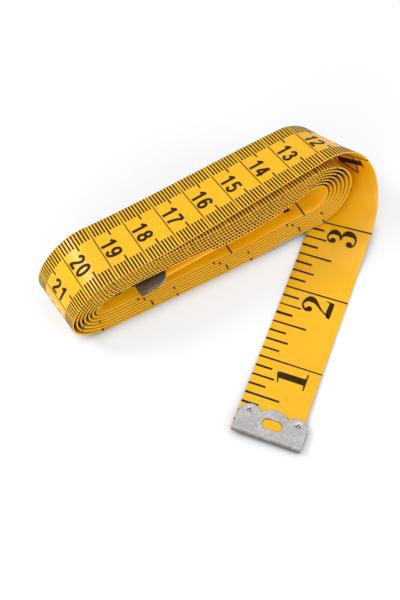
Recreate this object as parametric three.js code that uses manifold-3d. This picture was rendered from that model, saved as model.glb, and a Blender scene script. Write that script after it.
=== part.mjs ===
// Cloth tape measure: one printed strip wound into a loose flat coil, with a folded metal clip on each end.
// Millimetres, +Z up. The coil lies along X on the surface z = 0. Its outer end turns off over the right
// bend, passes under the coil's corner and runs out flat toward -Y, with the free clip at its end.
import * as THREE from 'three';
import { mergeVertices } from 'three/addons/utils/BufferGeometryUtils.js';
import Module from 'manifold-3d';

// The strip
const TAPE_WIDTH = 19;
const TAPE_THICKNESS = 0.45;

// The coil: outer height, straight run between the axes of its two bends, and how the turns nest
const TURNS = 7;
const COIL_HEIGHT = 26.3;
const RUN_LENGTH = 68.55;
const TOP_GAP = 0.67;
const BOTTOM_GAP = 0.72;
const LEFT_CREEP = 0.1;
const RIGHT_CREEP = 0.23;
const LEFT_BULGE = 1.06;
const LEFT_SAG = 0.08;
const RIGHT_TWIST = 8;
const RIGHT_ROLL = 3.5;
const LEFT_ROLL = 5.3;
const TOP_BOW = 3.4;
const TOP_STEP = 3.3;
const TOP_BOW_RIGHT = 1.5;
const TOP_BOW_LEFT = 2.5;
const TOP_FAN = 1.8;
const BOTTOM_SHIFT = 1.3;
const BOTTOM_YAW = 1.8;
const BOTTOM_LEAN = 0.2;
const RISE_LENGTH = 18;
const RISE_LEVEL = 5.5;

// The turn that takes the outer end off the coil, skewed and tilted to the coil's own bends
const TURN_SKEW = 20.9;
const TURN_TILT = 7.5;
const TURN_ANGLE = 176;
const TURN_SWELL = 1.43;
const TURN_EASE = 80;
const TURN_INSET = 2.5;
const TURN_STANDOFF = 4.84;
const TURN_LIFT = 0.7;

// The outer end that lies on the surface, with the crease where it lifts
const TAIL_LENGTH = 75.5;
const TAIL_HEADING = 38.9;
const TAIL_LIFT = 1.65;
const TAIL_LIFT_RUN = 40;
const TAIL_END_ROLL = 2;
const TAIL_ROLL = 3.5;
const TAIL_ROLL_RUN = 15;
const CREASE_SETBACK = 16;

// The inner end that droops inside the coil
const INNER_SETBACK = 7.6;
const FLAP_LENGTH = 28.4;
const FLAP_BEND = 8;
const FLAP_DROOP = 7.2;

// The end clips
const CLIP_SHEET = 0.3;
const CRIMP_CLEARANCE = 0.3;
const CLIP_OVERHANG = 0.6;
const CLIP_SHIFT = 0.85;
const CLIP_LENGTH = 9.9;
const CENTRE_LOBE = 7.9;
const LOBE_DEPTH = 1.1;
const SLOT_LENGTH = 5.9;
const SLOT_WIDTH = 3.3;
const SLOT_SETBACK = 5.05;
const PRONG_SETBACK = 7.5;
const PRONG_EDGE = 2.9;
const PRONG_SIDE = 1.3;

// Facets
const BEND_STEPS = 14;
const RUN_STEPS = 10;
const TURN_STEPS = 20;
const TAIL_STEPS = 10;
const ARC_STEPS = 10;
const PROBE = 1e-4;

// How finely the strip is measured: stations for each facet, and points across it
const MEASURE_DENSITY = 4;
const MEASURE_ACROSS = 5;

// Finishes
const TAPE_FINISH = { color: 0xfec437, roughness: 0.55, metalness: 0 };
const CLIP_FINISH = { color: 0xcdc8c8, roughness: 0.35, metalness: 0.9 };

const { degToRad, lerp, smoothstep } = THREE.MathUtils;
const UP = new THREE.Vector3(0, 0, 1);
const LEFT = new THREE.Vector3(-1, 0, 0);

// The wound strip's pitch, and the height of its outermost runs' middle surface
const topPitch = TAPE_THICKNESS + TOP_GAP;
const bottomPitch = TAPE_THICKNESS + BOTTOM_GAP;
const topHeight = COIL_HEIGHT - TAPE_THICKNESS / 2;
const floorHeight = TAPE_THICKNESS / 2;
const riseHeight = bottomPitch + TURN_LIFT;

function vector(x, y, z) {
  return new THREE.Vector3(x, y, z);
}

function mix(a, b, share) {
  return a.clone().lerp(b, share);
}

function turned(direction, axis, angle) {
  return direction.clone().applyAxisAngle(axis, angle);
}

// The strip's facing direction, rolled about its own length
function rolled(facing, along, degrees) {
  return turned(facing, along, degToRad(degrees));
}

// A leg of the route gives the middle point and the facing direction at a share u of its length.
// The tail and the flap take a distance instead, from the clip's fold and from the crease.
const heading = turned(vector(1, 0, 0), UP, degToRad(TAIL_HEADING));
const turnStart = vector(
  RUN_LENGTH - TURN_INSET + (TAPE_WIDTH + TURN_STANDOFF) * Math.tan(degToRad(TURN_SKEW)),
  -TAPE_WIDTH / 2 - TURN_STANDOFF,
  floorHeight,
);
const turnRise = TURN_LIFT + Math.sin(degToRad(TAIL_ROLL)) * TAPE_WIDTH / 2;

// The tail's clip end stands a little off the surface, and its other end rolls up into the turn
function tail(distance) {
  const left = TAIL_LENGTH - distance;
  const lifted = Math.max(0, 1 - distance / TAIL_LIFT_RUN) ** 2;
  const ease = 1 - smoothstep(left, 0, TAIL_ROLL_RUN);
  const point = turnStart.clone()
    .addScaledVector(heading, -left)
    .addScaledVector(UP, TAIL_LIFT * lifted + turnRise * ease);
  return { point, facing: rolled(UP, heading, TAIL_END_ROLL * lifted - TAIL_ROLL * ease) };
}

// The turn-off bend is a helix about a skewed and tilted axis
const tiltedAxis = turned(vector(0, 1, 0), vector(1, 0, 0), degToRad(-TURN_TILT));
const turnAxis = turned(tiltedAxis, UP, degToRad(TURN_SKEW));
const turnRadius = (COIL_HEIGHT - TAPE_THICKNESS) / 2 + TURN_SWELL;
const turnFacing = UP.clone().addScaledVector(turnAxis, -UP.dot(turnAxis)).normalize();
const axialShare = heading.dot(turnAxis);
const roundShare = Math.sqrt(1 - axialShare ** 2);
const tailEndFacing = rolled(UP, heading, -TAIL_ROLL);

function turnOff(u) {
  const angle = u * degToRad(TURN_ANGLE);
  const ease = smoothstep(angle, 0, degToRad(TURN_EASE));
  const point = turnStart.clone()
    .addScaledVector(turnFacing, turnRadius)
    .addScaledVector(turned(turnFacing, turnAxis, -angle), -turnRadius)
    .addScaledVector(turnAxis, turnRadius * angle * axialShare / roundShare)
    .addScaledVector(UP, turnRise * (1 - ease));
  return { point, facing: turned(mix(tailEndFacing, turnFacing, ease), turnAxis, -angle).normalize() };
}

// The outermost top run, a smooth curve from the turn-off bend to the left bend
const turnEnd = station(turnOff, 1);
const leftTop = vector(0, 0, topHeight);
const leftFacing = rolled(UP.clone().negate(), LEFT, -LEFT_ROLL);
const topReach = leftTop.distanceTo(turnEnd.point);

function outerTop(u) {
  const point = turnEnd.point.clone().multiplyScalar(2 * u ** 3 - 3 * u ** 2 + 1)
    .addScaledVector(turnEnd.along, (u ** 3 - 2 * u ** 2 + u) * topReach)
    .addScaledVector(leftTop, 3 * u ** 2 - 2 * u ** 3)
    .addScaledVector(LEFT, (u ** 3 - u ** 2) * topReach);
  return { point, facing: mix(turnEnd.facing, leftFacing, u).normalize() };
}

// Ends of the runs, by layer counted from the outside
const leftEnd = (layer) => LEFT_CREEP * layer;
const topRightEnd = (layer) => RUN_LENGTH - RIGHT_CREEP * (layer - 1);
const bottomRightEnd = (layer) => RUN_LENGTH - RIGHT_CREEP * layer;

function topPoint(layer, u) {
  const x = lerp(topRightEnd(layer), leftEnd(layer), u);
  const lean = TOP_BOW * Math.max(0, u) ** TOP_BOW_RIGHT * Math.max(0, 1 - u) ** TOP_BOW_LEFT;
  return vector(x, TOP_FAN * (1 - u) - lean * (layer + TOP_STEP), topHeight - topPitch * layer);
}

function bottomPoint(layer, u) {
  const end = bottomRightEnd(layer);
  const x = lerp(leftEnd(layer), end, u);
  const rise = riseHeight * smoothstep(x, end - RISE_LEVEL - RISE_LENGTH, end - RISE_LEVEL);
  const y = BOTTOM_SHIFT - BOTTOM_YAW * u + BOTTOM_LEAN * layer;
  return vector(x, y, floorHeight + bottomPitch * layer + rise);
}

const topRun = (layer) => (u) => ({
  point: topPoint(layer, u),
  facing: rolled(UP.clone().negate(), LEFT, lerp(RIGHT_ROLL, -LEFT_ROLL, u)),
});

const bottomRun = (layer) => (u) => ({ point: bottomPoint(layer, u), facing: UP.clone() });

// Half a turn between two run ends one above the other, bulging along the given side of X. A share of the
// bulge may sag to its lower half.
function bend(from, to, side, bulge, sag, roll) {
  return (u) => {
    const angle = Math.PI * u;
    const reach = Math.abs(from.z - to.z) / 2;
    const rising = Math.sign(to.z - from.z);
    const point = mix(from, to, (1 - Math.cos(angle)) / 2);
    point.x += side * bulge * reach * (Math.sin(angle) + rising * sag * Math.sin(2 * angle));
    const along = vector(side * Math.cos(angle), 0, rising * Math.sin(angle));
    const facing = vector(-side * Math.sin(angle), 0, rising * Math.cos(angle));
    return { point, facing: rolled(facing, along, roll(u)) };
  };
}

function leftBend(layer) {
  const from = layer === 0 ? leftTop : topPoint(layer, 1);
  return bend(from, bottomPoint(layer, 0), -1, LEFT_BULGE, LEFT_SAG, (u) => -LEFT_ROLL * (1 - u));
}

function rightBend(layer) {
  const roll = (u) => RIGHT_TWIST * Math.sin(Math.PI * u) + RIGHT_ROLL * u ** 2;
  return bend(bottomPoint(layer, 1), topPoint(layer + 1, 0), 1, 1, 0, roll);
}

// The inner end leaves the run above it at a crease, in a short bend, and then droops straight
const lastRun = topRun(TURNS);
const innerCrease = topRightEnd(TURNS) - INNER_SETBACK - FLAP_LENGTH;
const creaseShare = innerCrease / (topRightEnd(TURNS) - leftEnd(TURNS));
const crease = station(lastRun, creaseShare);

function flap(distance) {
  const bent = distance < FLAP_BEND ? distance ** 2 / (2 * FLAP_BEND) : distance - FLAP_BEND / 2;
  const point = crease.point.clone()
    .addScaledVector(crease.along, distance)
    .addScaledVector(UP, -bent * Math.tan(degToRad(FLAP_DROOP)));
  return { point, facing: crease.facing.clone() };
}

function stretch(leg, from, to) {
  return (u) => leg(lerp(from, to, u));
}

// The strip's middle point and its three directions: along it, out of its upper or inner face, and across it
function station(leg, u) {
  const { point, facing } = leg(u);
  const along = leg(u + PROBE).point.sub(leg(u - PROBE).point).normalize();
  const square = facing.clone().addScaledVector(along, -facing.dot(along)).normalize();
  return { point, along, facing: square, across: along.clone().cross(square) };
}

function stationsOf(legs, density = 1) {
  const stations = [];
  for (const [leg, steps] of legs) {
    const count = steps * density;
    for (let i = 0; i < count; i += 1) {
      stations.push(station(leg, i / count));
    }
  }
  stations.push(station(legs.at(-1)[0], 1));
  return stations;
}

// A closed strip with four corners at each station
function stripGeometry(stations) {
  const corners = [[-1, -1], [1, -1], [1, 1], [-1, 1]];
  const positions = [];
  const index = [];
  for (const { point, across, facing } of stations) {
    for (const [side, face] of corners) {
      const corner = point.clone()
        .addScaledVector(across, side * TAPE_WIDTH / 2)
        .addScaledVector(facing, face * TAPE_THICKNESS / 2);
      positions.push(...corner.toArray());
    }
  }
  for (let ring = 0; ring < stations.length - 1; ring += 1) {
    for (let i = 0; i < 4; i += 1) {
      const a = ring * 4 + i;
      const b = ring * 4 + (i + 1) % 4;
      index.push(a, a + 4, b + 4, a, b + 4, b);
    }
  }
  const end = (stations.length - 1) * 4;
  index.push(0, 1, 2, 0, 2, 3, end, end + 2, end + 1, end, end + 3, end + 2);
  const geometry = new THREE.BufferGeometry();
  geometry.setAttribute('position', new THREE.Float32BufferAttribute(positions, 3));
  geometry.setIndex(index);
  return geometry;
}

// The route, from the free clip's fold to the inner clip's fold. The tape's ends stop inside the folds, and
// each crease is one thickness wide, so that the two edges there clear each other up to a right angle.
const foldDepth = CLIP_SHEET + CRIMP_CLEARANCE;
const creaseHalf = TAPE_THICKNESS / 2;
const outerCrease = TAIL_LENGTH - CREASE_SETBACK;

const freeEndLegs = [[stretch(tail, foldDepth, outerCrease - creaseHalf), TAIL_STEPS]];
const innerEndLegs = [[stretch(flap, creaseHalf, FLAP_LENGTH - foldDepth), RUN_STEPS]];
const windingLegs = [
  [stretch(tail, outerCrease + creaseHalf, TAIL_LENGTH), TAIL_STEPS],
  [turnOff, TURN_STEPS],
  [outerTop, RUN_STEPS],
];
for (let layer = 0; layer < TURNS; layer += 1) {
  windingLegs.push([leftBend(layer), BEND_STEPS]);
  windingLegs.push([bottomRun(layer), RUN_STEPS]);
  windingLegs.push([rightBend(layer), BEND_STEPS]);
  if (layer < TURNS - 1) {
    windingLegs.push([topRun(layer + 1), RUN_STEPS]);
  }
}
windingLegs.push([stretch(lastRun, 0, creaseShare * (1 - creaseHalf / innerCrease)), RUN_STEPS]);

// Length of the strip and least gap between its turns, measured on points across it
function distancesAlong(stations) {
  const distances = [0];
  for (let i = 1; i < stations.length; i += 1) {
    distances.push(distances[i - 1] + stations[i].point.distanceTo(stations[i - 1].point));
  }
  return distances;
}

function pointsAcross({ point, across }) {
  const points = [];
  for (let i = 0; i < MEASURE_ACROSS; i += 1) {
    const offset = (i / (MEASURE_ACROSS - 1) - 1 / 2) * TAPE_WIDTH;
    points.push(point.clone().addScaledVector(across, offset));
  }
  return points;
}

// Stretches of the strip count as two turns where they are more than this far apart along it
const ownStretch = 2 * TAPE_WIDTH;

function leastGap(stations) {
  const rows = stations.map(pointsAcross);
  const distances = distancesAlong(stations);
  let least = Infinity;
  for (let i = 0; i < rows.length; i += 1) {
    for (let j = i + 1; j < rows.length; j += 1) {
      if (distances[j] - distances[i] < ownStretch) continue;
      for (const p of rows[i]) {
        for (const q of rows[j]) {
          least = Math.min(least, p.distanceToSquared(q));
        }
      }
    }
  }
  return Math.sqrt(least) - TAPE_THICKNESS;
}

const allLegs = [...freeEndLegs, ...windingLegs, ...innerEndLegs];
const measured = stationsOf(allLegs, MEASURE_DENSITY);
const tapeLength = distancesAlong(measured).at(-1) + 2 * foldDepth;
console.log(`tape length ${tapeLength.toFixed(1)} mm`);
console.log(`least gap between turns ${leastGap(measured).toFixed(2)} mm`);

// Solids for cutting and joining
const wasm = await Module();
wasm.setup();

function toSolid(geometry) {
  const bare = geometry.clone();
  bare.deleteAttribute('normal');
  bare.deleteAttribute('uv');
  const merged = mergeVertices(bare);
  return new wasm.Manifold(new wasm.Mesh({
    numProp: 3,
    vertProperties: new Float32Array(merged.attributes.position.array),
    triVerts: new Uint32Array(merged.index.array),
  }));
}

function toGeometry(solid) {
  const mesh = solid.getMesh();
  const geometry = new THREE.BufferGeometry();
  geometry.setAttribute('position', new THREE.BufferAttribute(mesh.vertProperties, 3));
  geometry.setIndex(new THREE.BufferAttribute(mesh.triVerts, 1));
  return geometry;
}

// The clip in its own frame: X from the fold along the tape, Y out of the slotted leaf, Z across the tape
const clipWidth = TAPE_WIDTH + 2 * CLIP_OVERHANG;
const clipHollow = TAPE_THICKNESS + 2 * CRIMP_CLEARANCE;
const clipThickness = clipHollow + 2 * CLIP_SHEET;

// Side view: a hairpin of sheet round the tape's end
function hairpin() {
  const centre = clipThickness / 2;
  const shape = new THREE.Shape();
  shape.moveTo(CLIP_LENGTH, clipHollow / 2);
  shape.lineTo(CLIP_LENGTH, clipThickness / 2);
  shape.absarc(centre, 0, clipThickness / 2, Math.PI / 2, Math.PI * 1.5, false);
  shape.lineTo(CLIP_LENGTH, -clipThickness / 2);
  shape.lineTo(CLIP_LENGTH, -clipHollow / 2);
  shape.absarc(centre, 0, clipHollow / 2, Math.PI * 1.5, Math.PI / 2, true);
  return prism(shape, clipWidth).translate(0, 0, -clipWidth / 2);
}

function prism(shape, depth) {
  return new THREE.ExtrudeGeometry(shape, { depth, bevelEnabled: false, curveSegments: ARC_STEPS });
}

// A plan-view outline, drawn across and along the tape, raised from one height to another
function plate(shape, low, high) {
  const planView = new THREE.Matrix4().makeBasis(vector(0, 0, 1), vector(1, 0, 0), vector(0, 1, 0));
  return prism(shape, high - low).translate(0, 0, low).applyMatrix4(planView);
}

// A lobe is an arc through two points on the notch line, as high as the lobes are deep
function addLobe(shape, from, to) {
  const half = Math.abs(from - to) / 2;
  const radius = (half ** 2 + LOBE_DEPTH ** 2) / (2 * LOBE_DEPTH);
  const swing = Math.asin(half / radius);
  const ahead = Math.PI / 2;
  shape.absarc((from + to) / 2, CLIP_LENGTH - radius, radius, ahead - swing, ahead + swing, false);
}

function clipOutline() {
  const half = clipWidth / 2;
  const shape = new THREE.Shape();
  shape.moveTo(-half, -CLIP_SHEET);
  shape.lineTo(half, -CLIP_SHEET);
  addLobe(shape, half, CENTRE_LOBE / 2);
  addLobe(shape, CENTRE_LOBE / 2, -CENTRE_LOBE / 2);
  addLobe(shape, -CENTRE_LOBE / 2, -half);
  return shape;
}

function slotOutline() {
  const straight = (SLOT_LENGTH - SLOT_WIDTH) / 2;
  const shape = new THREE.Shape();
  shape.absarc(straight, SLOT_SETBACK, SLOT_WIDTH / 2, -Math.PI / 2, Math.PI / 2, false);
  shape.absarc(-straight, SLOT_SETBACK, SLOT_WIDTH / 2, Math.PI / 2, Math.PI * 1.5, false);
  return shape;
}

function prongOutline(side) {
  const centre = side * (clipWidth / 2 - PRONG_EDGE);
  const rise = PRONG_SIDE * Math.sqrt(3) / 2;
  const shape = new THREE.Shape();
  shape.moveTo(centre - PRONG_SIDE / 2, PRONG_SETBACK - rise / 2);
  shape.lineTo(centre + PRONG_SIDE / 2, PRONG_SETBACK - rise / 2);
  shape.lineTo(centre, PRONG_SETBACK + rise / 2);
  return shape;
}

function clipGeometry() {
  let clip = toSolid(hairpin()).intersect(toSolid(plate(clipOutline(), -clipThickness, clipThickness)));
  for (const outline of [slotOutline(), prongOutline(-1), prongOutline(1)]) {
    clip = clip.subtract(toSolid(plate(outline, 0, clipThickness)));
  }
  return toGeometry(clip);
}

// Placed from the station at mid-length, with the fold at the end of the route
function placeClip(mesh, middle, inward) {
  const along = middle.along.clone().multiplyScalar(inward);
  const across = middle.across.clone().multiplyScalar(inward);
  mesh.quaternion.setFromRotationMatrix(new THREE.Matrix4().makeBasis(along, middle.facing, across));
  mesh.position.copy(middle.point)
    .addScaledVector(along, -CLIP_LENGTH / 2)
    .addScaledVector(middle.across, CLIP_SHIFT);
}

function part(name, geometry, finish) {
  geometry.computeVertexNormals();
  const mesh = new THREE.Mesh(geometry, new THREE.MeshStandardMaterial(finish));
  mesh.name = name;
  return mesh;
}

const tape = (name, legs) => part(name, stripGeometry(stationsOf(legs)), TAPE_FINISH);
const clip = (name) => part(name, clipGeometry(), CLIP_FINISH);

const freeClip = clip('free_end_clip');
placeClip(freeClip, station(tail, CLIP_LENGTH / 2), 1);
const innerClip = clip('inner_end_clip');
placeClip(innerClip, station(flap, FLAP_LENGTH - CLIP_LENGTH / 2), -1);

const assembly = new THREE.Group();
assembly.add(tape('wound_tape', windingLegs));
assembly.add(tape('free_end_tape', freeEndLegs), freeClip);
assembly.add(tape('inner_end_tape', innerEndLegs), innerClip);

// The origin is the middle of the underside of the whole object's box
const box = new THREE.Box3().setFromObject(assembly, true);
const middle = box.getCenter(vector(0, 0, 0));
assembly.position.set(-middle.x, -middle.y, -box.min.z);

const tapeMeasure = new THREE.Group();
tapeMeasure.add(assembly);

export default tapeMeasure;
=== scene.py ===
import math

import bpy
from mathutils import Matrix, Quaternion, Vector


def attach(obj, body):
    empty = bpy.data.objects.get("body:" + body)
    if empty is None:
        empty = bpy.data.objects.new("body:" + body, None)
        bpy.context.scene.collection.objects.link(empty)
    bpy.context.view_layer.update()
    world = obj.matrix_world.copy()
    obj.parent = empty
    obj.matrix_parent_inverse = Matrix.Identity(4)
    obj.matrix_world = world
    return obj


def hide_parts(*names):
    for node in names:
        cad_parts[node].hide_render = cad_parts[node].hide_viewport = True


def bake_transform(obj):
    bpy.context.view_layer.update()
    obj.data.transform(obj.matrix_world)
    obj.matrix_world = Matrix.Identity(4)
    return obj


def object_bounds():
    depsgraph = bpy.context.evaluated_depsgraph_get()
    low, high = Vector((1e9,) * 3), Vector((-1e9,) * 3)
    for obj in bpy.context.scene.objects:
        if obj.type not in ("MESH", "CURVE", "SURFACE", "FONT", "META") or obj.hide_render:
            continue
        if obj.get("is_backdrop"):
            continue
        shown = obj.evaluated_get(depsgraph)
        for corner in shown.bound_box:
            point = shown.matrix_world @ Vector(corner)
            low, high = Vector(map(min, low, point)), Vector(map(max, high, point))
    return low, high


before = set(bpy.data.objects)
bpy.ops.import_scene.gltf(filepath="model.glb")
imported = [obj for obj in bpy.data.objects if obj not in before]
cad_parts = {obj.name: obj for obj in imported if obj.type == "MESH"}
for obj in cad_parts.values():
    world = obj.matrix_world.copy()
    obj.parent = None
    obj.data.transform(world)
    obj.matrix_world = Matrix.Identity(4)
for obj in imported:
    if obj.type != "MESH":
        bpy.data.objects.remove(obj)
cad_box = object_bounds()

# The camera stands where the photograph was taken from, about 0.36 m from the tape and looking
# down on it at 58 degrees, with a lens of the photograph's reach.
CAMERA_PLACE = (-0.11097, -0.14823, 0.30817)
CAMERA_AIM = (-0.01204, 0.01576, 0.0)
SENSOR_HEIGHT = 36
LENS_LENGTH = 73.53
bpy.ops.object.select_all(action="DESELECT")
bpy.ops.object.camera_add(location=CAMERA_PLACE)
camera = bpy.context.object
looking = Vector(CAMERA_AIM) - camera.location
camera.rotation_euler = looking.to_track_quat("-Z", "Y").to_euler()
camera.data.sensor_fit = "VERTICAL"
camera.data.sensor_height = SENSOR_HEIGHT
camera.data.lens = LENS_LENGTH
bpy.context.scene.camera = camera

# The tape is one strip of woven cloth, coated yellow on both faces and slit to 19 mm. It lies flat
# from its free end, turns off over the coil, and is wound seven times with its inner end drooping.
# Sizes are in millimetres, in the coil's own frame, and lengths run from the free clip's fold.
MM = 0.001
COIL_PLACE = Vector((-37.5105, 29.0906, 0.0))
TAPE_WIDTH = 19.0
TAPE_THICKNESS = 0.45

# How the turns of the coil are stacked, bulged, rolled and leaned
TURNS = 7
COIL_HEIGHT = 26.3
RUN_LENGTH = 68.55
TOP_PITCH = 1.12
BOTTOM_PITCH = 1.17
LEFT_CREEP = 0.1
RIGHT_CREEP = 0.23
LEFT_BULGE = 1.06
LEFT_SAG = 0.08
RIGHT_TWIST = 8.0
RIGHT_ROLL = 3.5
LEFT_ROLL = 5.3
TOP_BOW = 3.4
BOW_RISE = 1.5
BOW_FALL = 2.5
TOP_STEP = 3.3
TOP_FAN = 1.8
BOTTOM_SHIFT = 1.3
BOTTOM_YAW = 1.8
BOTTOM_LEAN = 0.2
RISE_LENGTH = 18.0
RISE_LEVEL = 5.5

# The turn by which the tail leaves the coil
TURN_SKEW = 20.9
TURN_TILT = 7.5
TURN_ANGLE = 176.0
TURN_SWELL = 1.43
TURN_EASE = 80.0
TURN_INSET = 2.5
TURN_STANDOFF = 4.84
TURN_LIFT = 0.7

# The tail, which lifts a little at its clip and rolls into the turn
TAIL_LENGTH = 75.5
TAIL_HEADING = 38.9
TAIL_LIFT = 1.65
TAIL_LIFT_RUN = 40.0
TAIL_END_ROLL = 2.0
TAIL_ROLL = 3.5
TAIL_ROLL_RUN = 15.0
CREASE_SETBACK = 16.0

# The drooping inner end
INNER_SETBACK = 7.6
FLAP_LENGTH = 28.4
FLAP_BEND = 8.0
FLAP_DROOP = 7.2

# How far either end of the strip stops short of its clip's fold
FOLD_DEPTH = 0.6

UP = Vector((0, 0, 1))
LEFT = Vector((-1, 0, 0))
PROBE = 1e-4
TOP_LEVEL = COIL_HEIGHT - TAPE_THICKNESS / 2
FLOOR_LEVEL = TAPE_THICKNESS / 2


def eased(x, low, high):
    share = min(max((x - low) / (high - low), 0), 1)
    return share * share * (3 - 2 * share)


def between(a, b, share):
    return a + (b - a) * share


def turned(direction, axis, degrees):
    return Quaternion(axis, math.radians(degrees)) @ direction


def station(leg, u):
    """The strip's middle there, and its directions: along it, out of its inch face, and across."""
    point, facing = leg(u)
    along = (leg(u + PROBE)[0] - leg(u - PROBE)[0]).normalized()
    facing = (facing - along * facing.dot(along)).normalized()
    return point, along, facing, along.cross(facing)


heading = turned(Vector((1, 0, 0)), UP, TAIL_HEADING)
turn_start = Vector((
    RUN_LENGTH - TURN_INSET + (TAPE_WIDTH + TURN_STANDOFF) * math.tan(math.radians(TURN_SKEW)),
    -TAPE_WIDTH / 2 - TURN_STANDOFF,
    FLOOR_LEVEL,
))
turn_rise = TURN_LIFT + math.sin(math.radians(TAIL_ROLL)) * TAPE_WIDTH / 2


def tail(distance):
    left = TAIL_LENGTH - distance
    lifted = max(0, 1 - distance / TAIL_LIFT_RUN) ** 2
    ease = 1 - eased(left, 0, TAIL_ROLL_RUN)
    point = turn_start - heading * left + UP * (TAIL_LIFT * lifted + turn_rise * ease)
    return point, turned(UP, heading, TAIL_END_ROLL * lifted - TAIL_ROLL * ease)


turn_axis = turned(turned(Vector((0, 1, 0)), Vector((1, 0, 0)), -TURN_TILT), UP, TURN_SKEW)
turn_radius = (COIL_HEIGHT - TAPE_THICKNESS) / 2 + TURN_SWELL
turn_facing = (UP - turn_axis * UP.dot(turn_axis)).normalized()
turn_advance = heading.dot(turn_axis) / math.sqrt(1 - heading.dot(turn_axis) ** 2)
tail_end_facing = turned(UP, heading, -TAIL_ROLL)


def turn_off(u):
    angle = u * TURN_ANGLE
    ease = eased(angle, 0, TURN_EASE)
    spoke = turned(turn_facing, turn_axis, -angle)
    drift = turn_axis * (turn_radius * math.radians(angle) * turn_advance)
    point = turn_start + turn_facing * turn_radius - spoke * turn_radius
    point += drift + UP * turn_rise * (1 - ease)
    facing = turned(between(tail_end_facing, turn_facing, ease), turn_axis, -angle)
    return point, facing.normalized()


turn_end, turn_end_along, turn_end_facing, _ = station(turn_off, 1)
left_top = Vector((0, 0, TOP_LEVEL))
left_facing = turned(-UP, LEFT, -LEFT_ROLL)
top_reach = (left_top - turn_end).length


def outer_top(u):
    leaving = turn_end_along * (u**3 - 2 * u**2 + u) * top_reach
    arriving = LEFT * (u**3 - u**2) * top_reach
    point = turn_end * (2 * u**3 - 3 * u**2 + 1) + leaving
    point += left_top * (3 * u**2 - 2 * u**3) + arriving
    return point, between(turn_end_facing, left_facing, u).normalized()


def top_point(layer, u):
    x = between(RUN_LENGTH - RIGHT_CREEP * (layer - 1), LEFT_CREEP * layer, u)
    lean = TOP_BOW * max(0, u) ** BOW_RISE * max(0, 1 - u) ** BOW_FALL
    y = TOP_FAN * (1 - u) - lean * (layer + TOP_STEP)
    return Vector((x, y, TOP_LEVEL - TOP_PITCH * layer))


def bottom_point(layer, u):
    end = RUN_LENGTH - RIGHT_CREEP * layer
    x = between(LEFT_CREEP * layer, end, u)
    level = end - RISE_LEVEL
    rise = (BOTTOM_PITCH + TURN_LIFT) * eased(x, level - RISE_LENGTH, level)
    y = BOTTOM_SHIFT - BOTTOM_YAW * u + BOTTOM_LEAN * layer
    return Vector((x, y, FLOOR_LEVEL + BOTTOM_PITCH * layer + rise))


def top_run(layer):
    def leg(u):
        return top_point(layer, u), turned(-UP, LEFT, between(RIGHT_ROLL, -LEFT_ROLL, u))

    return leg


def bottom_run(layer):
    def leg(u):
        return bottom_point(layer, u), UP.copy()

    return leg


def bend(start, end, side, bulge, sag, roll):
    reach = abs(start.z - end.z) / 2
    rising = math.copysign(1, end.z - start.z)

    def leg(u):
        sine = math.sin(math.pi * u)
        cosine = math.cos(math.pi * u)
        bulging = bulge * reach * (sine + rising * sag * math.sin(math.tau * u))
        point = between(start, end, (1 - cosine) / 2) + Vector((side * bulging, 0, 0))
        along = Vector((side * cosine, 0, rising * sine))
        return point, turned(Vector((-side * sine, 0, rising * cosine)), along, roll(u))

    return leg


def left_bend(layer):
    def roll(u):
        return -LEFT_ROLL * (1 - u)

    start = top_point(layer, 1) if layer else left_top
    return bend(start, bottom_point(layer, 0), -1, LEFT_BULGE, LEFT_SAG, roll)


def right_bend(layer):
    def roll(u):
        return RIGHT_TWIST * math.sin(math.pi * u) + RIGHT_ROLL * u**2

    return bend(bottom_point(layer, 1), top_point(layer + 1, 0), 1, 1, 0, roll)


last_right = RUN_LENGTH - RIGHT_CREEP * (TURNS - 1)
inner_reach = last_right - INNER_SETBACK - FLAP_LENGTH
inner_share = inner_reach / (last_right - LEFT_CREEP * TURNS)
inner_crease, inner_along, inner_facing, _ = station(top_run(TURNS), inner_share)


def flap(distance):
    bent = distance**2 / (2 * FLAP_BEND) if distance < FLAP_BEND else distance - FLAP_BEND / 2
    fall = bent * math.tan(math.radians(FLAP_DROOP))
    return inner_crease + inner_along * distance - UP * fall, inner_facing.copy()


legs = [(tail, TAIL_LENGTH), (turn_off, 1), (outer_top, 1)]
for layer in range(TURNS):
    legs += [(left_bend(layer), 1), (bottom_run(layer), 1), (right_bend(layer), 1)]
    legs.append((top_run(layer + 1), 1 if layer < TURNS - 1 else inner_share))
legs.append((flap, FLAP_LENGTH))

ROUTE_STEPS = 240
route = []
distances = [0.0]
for leg, whole in legs:
    for step in range(ROUTE_STEPS):
        route.append(station(leg, whole * step / ROUTE_STEPS))
route.append(station(flap, FLAP_LENGTH))
for here, there in zip(route, route[1:]):
    distances.append(distances[-1] + (there[0] - here[0]).length)
TAPE_LENGTH = distances[-1]


def strip_at(distance):
    low, high = 0, len(route) - 1
    while high - low > 1:
        middle = (low + high) // 2
        low, high = (middle, high) if distances[middle] <= distance else (low, middle)
    share = (distance - distances[low]) / (distances[high] - distances[low])
    return [between(a, b, share) for a, b in zip(route[low], route[high])]


def on_strip(distance, across, above):
    """A point in metres, by its place along the strip, across it, and out of its inch face."""
    point, _, out, over = strip_at(distance)
    return (point + over * across + out * above + COIL_PLACE) * MM


EDGE_ROUND = TAPE_THICKNESS / 2
FLAT_HALF = TAPE_WIDTH / 2 - EDGE_ROUND
EDGE_STEPS = 4
FACE_STEPS = 10
SMOOTH_ANGLE = math.radians(40)
edge_angles = [math.pi * (step / EDGE_STEPS - 0.5) for step in range(EDGE_STEPS + 1)]
half_section = [
    (FLAT_HALF + EDGE_ROUND * math.cos(angle), -EDGE_ROUND * math.sin(angle))
    for angle in edge_angles
]
half_section += [
    (FLAT_HALF * (1 - 2 * step / FACE_STEPS), -EDGE_ROUND) for step in range(1, FACE_STEPS)
]
tape_section = half_section + [(-across, -above) for across, above in half_section]


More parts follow.
